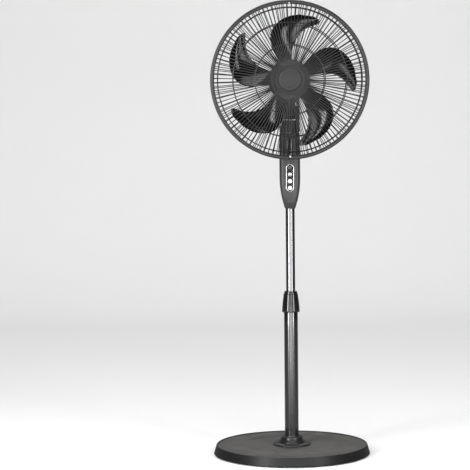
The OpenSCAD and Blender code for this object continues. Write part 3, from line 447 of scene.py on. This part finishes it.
FINISHES = {
    # The base's strong dust setting paints a lighter sheen on its top, where light falls, while its wall
    # stays dark
    "base plastic": finish("base plastic", (0.008, 0.008, 0.0085), 0.40, ("grain", 1400.0, 0.25, 0.05),
                           dust_and_sheen=0.22,
                            specular=0.25),
    "trim plastic": finish("trim plastic", (0.010, 0.010, 0.011), 0.30, ("grain", 1600.0, 0.16, 0.04)),
    "gloss collar": finish("gloss collar", (0.007, 0.007, 0.008), 0.11, ("ripple", 160.0, 0.08, 0.1),
                           coat=0.5),
    "black enamel": finish("black enamel", (0.15, 0.15, 0.155), 0.20, ("ripple", 260.0, 0.05, 0.06),
                           metallic=1.0, coat=0.5,
                           vary=(14.0, 0.03, 0.02)),
    "dark chrome": finish("dark chrome", (0.26, 0.26, 0.27), 0.13, ("ripple", 90.0, 0.03, 0.05),
                          metallic=1.0,
                          vary=(12.0, 0.03, 0.02)),
    "grey shell": finish("grey shell", (0.027, 0.027, 0.028), 0.40, ("grain", 1500.0, 0.28, 0.05)),
    "silver trim": finish("silver trim", (0.72, 0.72, 0.73), 0.20, ("brushed", 500.0, 0.06, 0.02),
                          metallic=1.0,
                          stretch=(1, 1, 0.06)),
    "black inlay": finish("black inlay", (0.003, 0.003, 0.0035), 0.16, ("ripple", 200.0, 0.03, 0.05),
                          specular=0.3),
    "smoked window": finish("smoked window", (0.020, 0.019, 0.021), 0.07, ("ripple", 120.0, 0.03, 0.05),
                            coat=1.0),
    "button dark": finish("button dark", (0.05, 0.05, 0.052), 0.22, ("ripple", 300.0, 0.05, 0.03)),
    "button silver": finish("button silver", (0.42, 0.43, 0.44), 0.26, ("grain", 2500.0, 0.08, 0.02),
                            metallic=0.7),
    "button white": finish("button white", (0.82, 0.82, 0.83), 0.26, ("grain", 2500.0, 0.08, 0.02)),
    "wire coating": finish("wire coating", (0.009, 0.009, 0.010), 0.34, ("ripple", 700.0, 0.12, 0.05)),
    "rim plastic": finish("rim plastic", (0.016, 0.016, 0.017), 0.30, ("grain", 1500.0, 0.18, 0.04)),
    "hub plate": finish("hub plate", (0.004, 0.004, 0.0045), 0.30, ("ripple", 500.0, 0.1, 0.04)),
    "badge plastic": finish("badge plastic", (0.020, 0.020, 0.021), 0.5, ("grain", 1600.0, 0.22, 0.04),
                            specular=0.3),
    "blade gloss": finish("blade gloss", (0.0025, 0.0025, 0.003), 0.14, ("ripple", 110.0, 0.06, 0.12),
                          coat=0.3,
                          coat_rough=0.06),
    "rubber": finish("rubber", (0.018, 0.018, 0.018), 0.75, ("grain", 900.0, 0.4, 0.08), dust_and_sheen=0.08),
    "zinc plate": finish("zinc plate", (0.55, 0.55, 0.54), 0.30, ("brushed", 700.0, 0.15, 0.03),
                         metallic=1.0,
                         vary=(40.0, 0.10, 0.08), stretch=(1, 1, 0.1)),
    "cast iron": finish("cast iron", (0.09, 0.088, 0.085), 0.70, ("grain", 500.0, 0.8, 0.3), metallic=0.6,
                        vary=(25.0, 0.2, 0.12)),
    "nylon": finish("nylon", (0.62, 0.60, 0.55), 0.45, ("grain", 1100.0, 0.15, 0.04)),
    "circuit board": finish("circuit board", (0.02, 0.10, 0.05), 0.35, ("grain", 900.0, 0.1, 0.03),
                            coat=0.3),
    "cast aluminium": finish("cast aluminium", (0.50, 0.50, 0.51), 0.42, ("grain", 700.0, 0.5, 0.15),
                             metallic=1.0,
                             vary=(35.0, 0.1, 0.1)),
    "core laminations": finish("core laminations", (0.30, 0.30, 0.31), 0.38, ("brushed", 1600.0, 0.5, 0.1),
                               metallic=1.0, stretch=(0.04, 1, 0.04)),
    "copper winding": finish("copper winding", (0.62, 0.26, 0.12), 0.30, ("brushed", 1200.0, 0.7, 0.3),
                             metallic=1.0,
                             stretch=(0.1, 1, 0.1)),
    "sintered bronze": finish("sintered bronze", (0.45, 0.30, 0.15), 0.42, ("grain", 1500.0, 0.3, 0.05),
                              metallic=1.0),
    "capacitor case": finish("capacitor case", (0.62, 0.56, 0.42), 0.35, ("grain", 1200.0, 0.1, 0.03)),
    "ground steel": finish("ground steel", (0.60, 0.60, 0.60), 0.18, ("brushed", 1500.0, 0.15, 0.02),
                           metallic=1.0,
                           stretch=(1, 0.05, 1)),
}

# What each material slot looks like, for the designed parts that are shown as they are
SLOT_FINISH = {
    "satin_black": "trim plastic", "cast_iron": "cast iron", "zinc_steel": "zinc plate", "rubber": "rubber",
    "gloss_black": "gloss collar", "pole_black": "black enamel", "pole_chrome": "dark chrome",
    "nylon": "nylon",
    "grey_shell": "grey shell", "silver_trim": "silver trim", "dark_window": "smoked window",
    "circuit_green": "circuit board", "button_dark": "button dark", "button_silver": "button silver",
    "button_white": "button white", "cast_aluminium": "cast aluminium", "core_steel": "core laminations",
    "copper_wire": "copper winding", "bronze": "sintered bronze", "capacitor_cream": "capacitor case",
    "wire_black": "wire coating", "badge_grey": "badge plastic", "rim_black": "rim plastic",
    "shaft_steel": "ground steel", "blade_black": "blade gloss",
}
for node, shape in frame["nodes"].items():
    shape.data.materials.clear()
    shape.data.materials.append(FINISHES[SLOT_FINISH[SLOTS[node]]])


# ---------- Base ----------

def make_base():
    top, floor = high("base_cover").z, low("base_cover").z
    face = top - 3
    plateau_r = BASE_R - 86
    top_r = BASE_R - 7
    hole = POLE_R + 0.5
    cover = turned("base_shell", loop_of([
        (hole, face + 0.8), (plateau_r - 1.6, face + 0.8), (plateau_r - 0.9, face + 0.25),
        (plateau_r + 0.9, face + 0.25),
        (plateau_r + 1.6, face), (top_r - 5.2, face - 0.1), (top_r - 4, face + 0.5),
        (top_r - 3.4, top - 0.5),
        (top_r - 2.6, top), (top_r - 1.2, top - 0.15), (top_r - 0.2, top - 1.1), (top_r + 0.25, top - 2.4),
        (BASE_R - 0.9, floor + 4), (BASE_R, floor + 1.2), (BASE_R - 0.6, floor), (BASE_R - 3, floor),
        (top_r - 3, face - 3), (hole, face - 3)]), 192, 0.35)
    finished(cover, "base plastic", "base_cover")

    foot, flange = low("base_trim_collar").z, high("base_trim_collar").x
    crown = high("base_trim_collar").z
    collar = turned("trim_collar", loop_of([
        (POLE_R + 0.1, foot), (flange - 0.6, foot), (flange, foot + 0.8), (flange - 0.1, foot + 2.4),
        (flange - 1.2, foot + 3.8), (flange - 3, foot + 4.5), (flange * 0.74, foot + 5.8),
        (flange * 0.715, foot + 6.6),
        (flange * 0.70, foot + 8.8), (POLE_R + 13.6, foot + 12.8), (POLE_R + 10.7, foot + 18),
        (POLE_R + 10, crown - 7),
        (POLE_R + 10, crown - 4.7), (POLE_R + 9.2, crown - 3.8), (POLE_R + 5.6, crown - 3.2),
        (POLE_R + 4.6, crown - 2.6),
        (POLE_R + 4.5, crown - 0.9), (POLE_R + 3.7, crown), (POLE_R + 1.2, crown),
        (POLE_R + 0.1, crown - 0.7)]), 128, 0.3)
    finished(collar, "trim plastic", "base_trim_collar")


# ---------- Mast ----------

def make_poles():
    for name, node, look, radius, wall in (("lower_tube", "lower_pole", "black enamel", POLE_R, 1.5),
                                           ("upper_tube", "upper_pole", "dark chrome", MAST_R, 1.2)):
        foot, top = low(node).z, high(node).z
        middle = [(radius, foot + (top - foot) * i / 6) for i in range(1, 6)]
        tube = turned(name, loop_of([(radius - wall, foot), (radius, foot)] + middle + [
            (radius, top), (radius - wall, top)]), 96, 0.4)
        finished(tube, look, node)


def make_lock_collar():
    foot, top = low("lock_collar").z, high("lock_collar").z
    tall = top - foot
    wide, narrow = POLE_R + 5.5, MAST_R + 4
    shares = [(.02, 0), (.14, .04), (.25, .1), (.38, .17), (.5, .25), (.6, .35), (.66, .42), (.74, .52),
              (.83, .65),
              (.9, .76), (.96, .86), (.99, .95), (1, 1.06)]
    collar = turned("lock_ring", loop_of(
        [(POLE_R + 1.3, foot), (wide - 0.9, foot)] + [(wide - (wide - narrow) * s, foot + tall * h) for h,
                                                      s in shares]
        + [(MAST_R + 0.5, top), (MAST_R + 0.5, top - 2.5), (POLE_R + 1.3, top - 9)]), 160)
    cutters = []
    for i in range(10):
        deselect()
        bpy.ops.mesh.primitive_cylinder_add(vertices=40, radius=5 * MM, depth=tall * 0.8 * MM,
                                            location=((wide + 3.5) * MM, 0, (foot + tall * 0.39) * MM))
        flute = named("flute")
        edit(flute)
        choose(flute, lambda p, n: n.z > 0.9)
        bpy.ops.mesh.bevel(offset=3.6 * MM, segments=5)
        done()
        flute.rotation_euler = (0, radians(-3.2), 0)
        settle(flute)
        flute.rotation_euler = (0, 0, radians(18 + 36 * i))
        settle(flute)
        cutters.append(flute)
    cut_by(collar, *cutters)
    rounded(collar, 0.35, 2, 34)
    finished(collar, "gloss collar", "lock_collar", smooth=38)


# ---------- Control box ----------

def box_side(full, foot, taper, up):
    drop = full - foot
    arc = (taper * taper + drop * drop) / (2 * drop)
    return full if up >= taper else full - arc + sqrt(arc * arc - (taper - up) ** 2)


def make_box():
    half_w, front = high("control_box_front").x, -low("control_box_front").y
    rear, foot, top = high("control_box_rear").y, low("control_box_front").z, high("control_box_front").z
    seam = (high("control_box_front").y + low("control_box_rear").y) / 2
    levels = [0, 6, 12, 18, 25, 32, 40, 48, 57, 66, 76, 86, 120, 160, 190, top - foot]
    sections = [(box_side(half_w, MAST_R + 1.3, 85, up), box_side(front, MAST_R + 2.5, 46, up),
                 box_side(rear, MAST_R + 2.5, 46, up)) for up in levels]
    w, f, r = sections[0]
    deselect()
    bpy.ops.mesh.primitive_plane_add(size=2 * MM, location=(0, (r - f) / 2 * MM, foot * MM))
    shell = named("box_form")
    shell.scale = (w, (f + r) / 2, 1)
    settle(shell)
    edit(shell)
    bpy.ops.mesh.select_all(action="SELECT")
    bpy.ops.mesh.bevel(offset=5.4 * MM, affect="VERTICES", segments=7)
    bpy.ops.mesh.select_all(action="SELECT")
    for (up, (w0, f0, r0)), (up1, (w1, f1, r1)) in zip(zip(levels, sections),
                                                       zip(levels[1:], sections[1:])):
        bpy.ops.mesh.extrude_region_move(TRANSFORM_OT_translate={
            "value": (0, ((r1 - f1) - (r0 - f0)) / 2 * MM, (up1 - up) * MM)})
        bpy.ops.transform.resize(value=(w1 / w0, (f1 + r1) / (f0 + r0), 1),
                                 center_override=(0, (r1 - f1) / 2 * MM, (foot + up1) * MM))
    # The long shallow facet that frames the buttons
    choose(shell, lambda p, n: n.y < -0.72 and abs(p.x) < 2 and p.z > foot + 15)
    bpy.ops.mesh.inset(thickness=2.2 * MM, depth=-0.9 * MM)
    done()
    outward(shell)
    rounded(shell, 1.6, 3, 24)
    for side, name, node in ((1, "box_rear_shell", "control_box_rear"),
                             (-1, "box_front_shell", "control_box_front")):
        pick(shell)
        bpy.ops.object.duplicate()
        half = named(name)
        edit(half)
        bpy.ops.mesh.select_all(action="SELECT")
        bpy.ops.mesh.bisect(plane_co=(0, (seam + side * 0.15) * MM, 0), plane_no=(0, 1, 0), use_fill=True,
                            clear_inner=side > 0, clear_outer=side < 0)
        done()
        outward(half)
        pick(shell)
        bpy.ops.object.duplicate()
        room = named("room")
        middle = Vector((0, (rear - front) / 2, (foot + top) / 2)) * MM
        edit(room)
        bpy.ops.mesh.select_all(action="SELECT")
        bpy.ops.transform.resize(value=(1 - 2.6 / half_w, 1 - 5.2 / (front + rear), 1 - 5.2 / (top - foot)),
                                 center_override=middle)
        done()
        openings = [room]
        for z, radius, way in ((foot, MAST_R + 0.1, "pole_way"), (top, 9.6, "spindle_way")):
            deselect()
            bpy.ops.mesh.primitive_cylinder_add(vertices=64, radius=radius * MM, depth=24 * MM,
                                                location=(0, 0, z * MM))
            openings.append(named(way))
        cut_by(half, *openings)
        finished(half, "grey shell", node, smooth=30)
    bpy.data.objects.remove(shell)

    # Button panel: bright bezel round a black inlay
    lo, hi = low("button_panel"), high("button_panel")
    face, back, mid, wide, long = lo.y, hi.y, (lo.z + hi.z) / 2, hi.x * 2, hi.z - lo.z
    bezel = pill("panel_bezel", wide, long, mid, face, back)
    edit(bezel)
    choose(bezel, lambda p, n: n.y < -0.9)
    bpy.ops.mesh.inset(thickness=1.9 * MM)
    bpy.ops.mesh.extrude_region_move(TRANSFORM_OT_translate={"value": (0, 1.3 * MM, 0)})
    done()
    rounded(bezel, 0.5, 3, 30)
    finished(bezel, "silver trim", "button_panel")
    inlay = pill("panel_inlay", wide - 3.8, long - 3.8, mid, face + 0.7, face + 1.6)
    rounded(inlay, 0.15, 2, 30)
    finished(inlay, "black inlay", "button_panel", stands_for=False, slot="dark_window")

    for node, look in (("power_button", "button dark"), ("speed_button", "button silver"),
                       ("mode_button", "button white"), ("timer_button", "button white")):
        lo, hi = low(node), high(node)
        z, proud, sunk = (lo.z + hi.z) / 2, -lo.y, -hi.y
        cap = turned(node + "_cap", loop_of([
            (0, sunk), (6.8, sunk), (6.8, sunk + 1.5), (5.6, sunk + 1.7), (5.6, proud - 0.9),
            (5.35, proud - 0.25),
            (4.8, proud), (4.0, proud - 0.1), (2.4, proud - 0.38), (0, proud - 0.5)]), 48)
        forward(cap, z)
        finished(cap, look, node, smooth=40)
        ring = turned(node + "_ring", loop_of([
            (5.9, proud - 2.4), (7.2, proud - 2.4), (7.2, proud - 1.1), (6.8, proud - 0.8),
            (6.1, proud - 0.8),
            (5.9, proud - 1.0)]), 48)
        forward(ring, z)
        finished(ring, "black inlay", "button_panel", stands_for=False, slot="dark_window")

    lo, hi = low("receiver_window"), high("receiver_window")
    pane = pill("receiver_pane", hi.x * 2, hi.z - lo.z, (lo.z + hi.z) / 2, lo.y, hi.y)
    rounded(pane, 0.6, 3, 30)
    finished(pane, "smoked window", "receiver_window")


# ---------- Cage ----------

def cage_form(depth, shell_r):
    """Half section of the cage: from the middle plate over the shoulder to the seat in the rim."""
    def at(t):
        return shell_r * max(cos(t), 0) ** (2 / 3), depth * max(sin(t), 0) ** (2 / 3)

    def angle(r):
        return acos(min(1, (r / shell_r) ** 1.5))
    return at, angle


def make_cage():
    shell_r = RIM_R - 14.5
    bar_half, wire_r, hoop_r, end_hoop_r, rim_wall = 1.0, 1.1, 1.3, 2.1, 2.5
    perimeter = RIM_R - rim_wall - end_hoop_r - 0.4
    plate_r, seat = 52.0, 4.5
    for side, label, count, node, frame_node in ((1, "front", 116, "front_cage_wires", "front_cage_frame"),
                                                 (-1, "rear", 96, "rear_cage_wires", "rear_cage_frame")):
        if side > 0:
            depth = -low(node).y - RIM_MID - bar_half
        else:
            depth = RIM_MID + high(node).y - bar_half
        at, angle = cage_form(depth, shell_r)
        start, end = angle(40.0 if side > 0 else plate_r + 0.5), asin(min(1, (seat / depth) ** 1.5))
        path = [at(start + (end - start) * (i / 10) ** 0.92) for i in range(11)] + [(perimeter - 2.2, seat)]
        wire = outline(label + "_wires", [(r, RIM_MID + side * f) for r, f in path])
        settle(wire)
        pick(wire)
        bpy.ops.object.convert(target="CURVE")
        curve = bpy.context.active_object
        curve.data.bevel_depth = wire_r * MM
        curve.data.bevel_resolution = 1
        curve.data.use_fill_caps = True
        bpy.ops.object.convert(target="MESH")
        wire = named(label + "_wires")
        wire.rotation_euler = (0, 0, radians(-90 + 180 / count))
        settle(wire)
        repeated(wire, count)
        forward(wire, HEAD_Z)
        finished(wire, "wire coating", node, smooth=60)

        rings = []
        for share in (0.472, 0.768, 0.983):
            r, f = at(angle(share * shell_r))
            out = Vector((r * r / shell_r ** 3, f * f / depth ** 3)).normalized()
            sink = bar_half + hoop_r + 0.1
            rings.append(wire_ring("ring", r - out.x * sink, RIM_MID + side * (f - out.y * sink), hoop_r))
        rings.append(wire_ring("ring", perimeter, RIM_MID + side * seat, end_hoop_r))
        if side > 0:
            plate_at = RIM_MID + depth - 1.3
            profile = [(6.1, plate_at), (plate_r - 1, plate_at), (plate_r, plate_at + 0.3),
                       (plate_r, plate_at + 0.9),
                       (plate_r - 0.6, plate_at + 1.0), (40, plate_at + 1.0), (6.1, plate_at + 1.0)]
        else:
            plate_at = -high("rear_cage_frame").y
            profile = [(22.2, plate_at), (plate_r - 0.4, plate_at), (plate_r, plate_at + 0.3),
                       (plate_r, plate_at + 0.8),
                       (plate_r - 0.5, plate_at + 1.0), (22.2, plate_at + 1.0)]
        plate = turned(label + "_plate", loop_of(profile), 96)
        forward(plate, HEAD_Z)
        finished(plate, "hub plate", frame_node, stands_for=False)
        hoop = joined(label + "_hoops", *rings)
        forward(hoop, HEAD_Z)
        finished(hoop, "wire coating", frame_node, smooth=45)

    lip = RIM_R - 10.6
    a, b = RIM_MID - RIM_HALF, RIM_MID + RIM_HALF
    rim = turned("rim_hoop", loop_of([
        (lip, a + 0.4), (lip + 0.5, a), (RIM_R - 5, a), (RIM_R - 2.4, a + 0.5), (RIM_R - 0.6, a + 2.2),
        (RIM_R, a + 4.2),
        (RIM_R, b - 4.2), (RIM_R - 0.5, b - 2.4), (RIM_R - 1.7, b - 1.0), (RIM_R - 3.4, b - 0.2),
        (RIM_R - 5.4, b),
        (RIM_R - 7.4, b - 0.15), (lip + 1.4, b - 0.8), (lip + 0.4, b - 1.3), (lip, b - 1.9),
        (lip + 0.2, b - 2.5),
        (RIM_R - 2.5, b - 2.5), (RIM_R - 2.5, a + 2.5), (lip, a + 2.5)]), 256, 0.25)
    forward(rim, HEAD_Z)
    finished(rim, "rim plastic", "cage_rim")

    lo, hi = low("front_badge"), high("front_badge")
    r, front, back = hi.x, -lo.y, -lo.y - 7
    badge = turned("front_disc", loop_of([
        (0, back), (r - 0.3, back), (r, back + 0.6), (r, back + 2.8), (r - 0.6, back + 3.9),
        (r - 2, back + 5.0),
        (r - 5.5, back + 5.9), (r - 8.4, back + 6.3), (r - 9.0, back + 6.15), (r - 9.5, back + 5.7),
        (r - 10.1, back + 5.7), (r - 10.6, back + 6.2), (r - 14, back + 6.5), (r * 0.3, back + 6.85),
        (0, front)]), 128, 0.15)
    forward(badge, HEAD_Z)
    finished(badge, "badge plastic", "front_badge")


# ---------- Rotor ----------

def make_rotor():
    back, front = 64.0, -low("spinner_nut").y - 16
    hub_r, tip_r, mid, sunk = 46.0, 181.0, 89.0, 1.5

    def lead(u):
        return 85 - 30 * u ** 2.6 + 9 * u ** 24

    def trail(u):
        return 115 + 6 * (1 - u) - 34 * u ** 4.5 - 12 * u ** 30

    spans, chords = 26, 14
    reach = tip_r - hub_r + sunk
    deselect()
    bpy.ops.mesh.primitive_grid_add(x_subdivisions=spans, y_subdivisions=chords, size=2 * MM,
                                    location=(0, 0, 0))
    blade = named("blades")
    for point in blade.data.vertices:
        u, v = (point.co.x / MM + 1) / 2, (point.co.y / MM + 1) / 2
        u = min(max(u, 0), 1) ** 0.85
        r, a = hub_r - sunk + reach * u, radians(trail(u) + (lead(u) - trail(u)) * v)
        ahead = mid + (37 - 17 * u) * (0.5 - v) - (5 + 3 * u) * 4 * v * (1 - v)
        point.co = Vector((r * cos(a), r * sin(a), ahead)) * MM
    with_modifier(blade, "SOLIDIFY", thickness=1.9 * MM, offset=0.0, use_even_offset=False)
    rounded(blade, 0.6, 2, 50)
    repeated(blade, 5)
    hub = turned("hub", loop_of([
        (9.2, 60), (9.2, front - 4), (hub_r - 3, front - 4), (hub_r - 3, back), (hub_r, back),
        (hub_r, front - 5),
        (hub_r - 0.9, front - 2), (hub_r - 3.4, front - 0.3), (hub_r - 6, front), (4.1, front), (4.1, 60)]),
        128, 0.3)
    rotor = joined("blades", blade, hub)
    forward(rotor, HEAD_Z)
    finished(rotor, "blade gloss", "fan_blade", smooth=40)
    spinner_r = high("spinner_nut").x
    tip = -low("spinner_nut").y
    nut = turned("spinner", loop_of([
        (4.1, tip - 16), (spinner_r - 0.3, tip - 16), (spinner_r, tip - 15.4), (spinner_r, tip - 12),
        (spinner_r - 1.4, tip - 7.2), (spinner_r - 3.6, tip - 4), (spinner_r - 7, tip - 1.7),
        (spinner_r - 12, tip - 0.3),
        (0, tip), (0, tip - 4), (4.1, tip - 4)]), 96, 0.2)
    forward(nut, HEAD_Z)
    finished(nut, "trim plastic", "spinner_nut")


# ---------- Worked copies of the designed parts that show ----------

def make_worked_parts():
    for node, width, look in (
            ("tilt_yoke", 1.0, "grey shell"), ("tilt_knuckle", 0.8, "grey shell"),
            ("motor_cover", 0.5, "grey shell"),
            ("cage_nut", 0.6, "trim plastic"), ("cord_gland", 0.4, "trim plastic"),
            ("rubber_feet", 0.6, "rubber"),
            ("tilt_bolt", 0.4, "zinc plate"), ("tilt_nut", 0.3, "zinc plate"),
            ("rim_screws", 0.2, "zinc plate"),
            ("rim_nuts", 0.15, "zinc plate"), ("pole_clamp_screw", 0.3, "zinc plate"),
            ("control_box_screws", 0.2, "zinc plate"), ("cover_screws", 0.3, "zinc plate"),
            ("base_plate", 0.3, "zinc plate"), ("pole_collet", 0.2, "nylon")):
        finished(refined(node, width), look, node)


make_base()
make_poles()
make_lock_collar()
make_box()
make_cage()
make_rotor()
make_worked_parts()


# ---------- Room, light and camera ----------

def plain(name, colour, rough):
    return finish(name, colour, rough, ("grain", 60.0, 0.04, 0.5), vary=(1.5, 0.01, 0.02), dust_and_sheen=0.0)


def switched_for_gloss(tree, shown, reflected, surface):
    """Shows one shader directly and another one in glossy reflections."""
    path, switch = tree.nodes.new("ShaderNodeLightPath"), tree.nodes.new("ShaderNodeMixShader")
    tree.links.new(path.outputs["Is Glossy Ray"], switch.inputs[0])
    tree.links.new(shown.outputs[0], switch.inputs[1])
    tree.links.new(reflected.outputs[0], switch.inputs[2])
    tree.links.new(switch.outputs[0], surface)


def make_room():
    bend_r, bend_steps, wall_high = 1.2, 9, 6
    deselect()
    bpy.ops.mesh.primitive_plane_add(size=1, location=(0, 0, 0))
    floor = named("studio_floor")
    floor.scale = (22, 11, 1)
    floor.location = (0, -2.5, 0)
    settle(floor)
    edit(floor)
    choose(floor, lambda a, b: a.y > 2000 and b.y > 2000, "EDGE")
    for i in range(1, bend_steps + 1):
        before, after = radians(10 * (i - 1)), radians(10 * i)
        bpy.ops.mesh.extrude_region_move(TRANSFORM_OT_translate={
            "value": (0, bend_r * (sin(after) - sin(before)), bend_r * (cos(before) - cos(after)))})
    bpy.ops.mesh.extrude_region_move(TRANSFORM_OT_translate={"value": (0, 0, wall_high)})
    done()
    sweep = plain("studio sweep", (0.82, 0.82, 0.82), 0.9)
    nodes = sweep.node_tree.nodes
    dark = nodes.new("ShaderNodeBsdfDiffuse")
    dark.inputs["Color"].default_value = (0.20, 0.20, 0.20, 1)
    switched_for_gloss(sweep.node_tree, nodes["Principled BSDF"], dark,
                       nodes["Material Output"].inputs["Surface"])
    floor.data.materials.append(sweep)
    bpy.ops.object.shade_smooth()

    world = bpy.data.worlds.new("studio")
    bpy.context.scene.world = world
    world.use_nodes = True
    nodes = world.node_tree.nodes
    shown = nodes["Background"]
    shown.inputs["Color"].default_value = (0.90, 0.90, 0.90, 1)
    shown.inputs["Strength"].default_value = 0.67
    reflected = nodes.new("ShaderNodeBackground")
    reflected.inputs["Color"].default_value = (0.5, 0.5, 0.5, 1)
    reflected.inputs["Strength"].default_value = 0.05
    switched_for_gloss(world.node_tree, shown, reflected, nodes["World Output"].inputs["Surface"])


def softbox(name, azimuth, elevation, distance, width, height, power, aim=(0, 0, 0.75)):
    """An area light round the object; azimuth 0 is the front, positive towards +X."""
    a, e = radians(azimuth), radians(elevation)
    place = Vector(aim) + distance * Vector((sin(a) * cos(e), -cos(a) * cos(e), sin(e)))
    deselect()
    bpy.ops.object.light_add(type="AREA", location=place)
    lamp = bpy.context.active_object
    lamp.name = name
    lamp.data.shape = "RECTANGLE"
    lamp.data.size, lamp.data.size_y = width, height
    lamp.data.energy = power
    lamp.visible_camera = False
    lamp.rotation_euler = (Vector(aim) - place).to_track_quat("-Z", "Y").to_euler()


def make_light():
    softbox("left card", -13, -4, 1.75, 0.50, 1.5, 8, aim=(0, 0, 0.80))
    softbox("right card", 12, -4, 1.75, 0.42, 1.5, 8, aim=(0, 0, 0.80))
    softbox("key", -42, 8, 2.6, 0.6, 2.4, 60, aim=(0, 0, 0.85))
    softbox("fill", 40, 8, 2.6, 0.5, 2.4, 34, aim=(0, 0, 0.85))
    softbox("overhead", 0, 70, 3.0, 2.2, 1.6, 44)
    softbox("sweep", 180, 38, 2.4, 4.5, 1.2, 142, aim=(0, 2.6, 1.1))


def make_camera():
    eye = bpy.data.cameras.new("camera")
    eye.sensor_width = 36
    eye.lens = 143.9
    eye.clip_end = 60
    view = bpy.data.objects.new("camera", eye)
    bpy.context.scene.collection.objects.link(view)
    around, distance, height = radians(-1.0), 5.186, 0.979
    view.location = (distance * sin(around), -distance * cos(around), height)
    look = (Matrix.Rotation(radians(0.69), 4, "Z") @ Matrix.Rotation(radians(90 - 4.05), 4, "X")
            @ Matrix.Rotation(radians(-0.56), 4, "Z"))
    view.rotation_euler = look.to_euler()
    bpy.context.scene.camera = view


make_room()
make_light()
make_camera()
bpy.context.scene.view_settings.view_transform = "Standard"
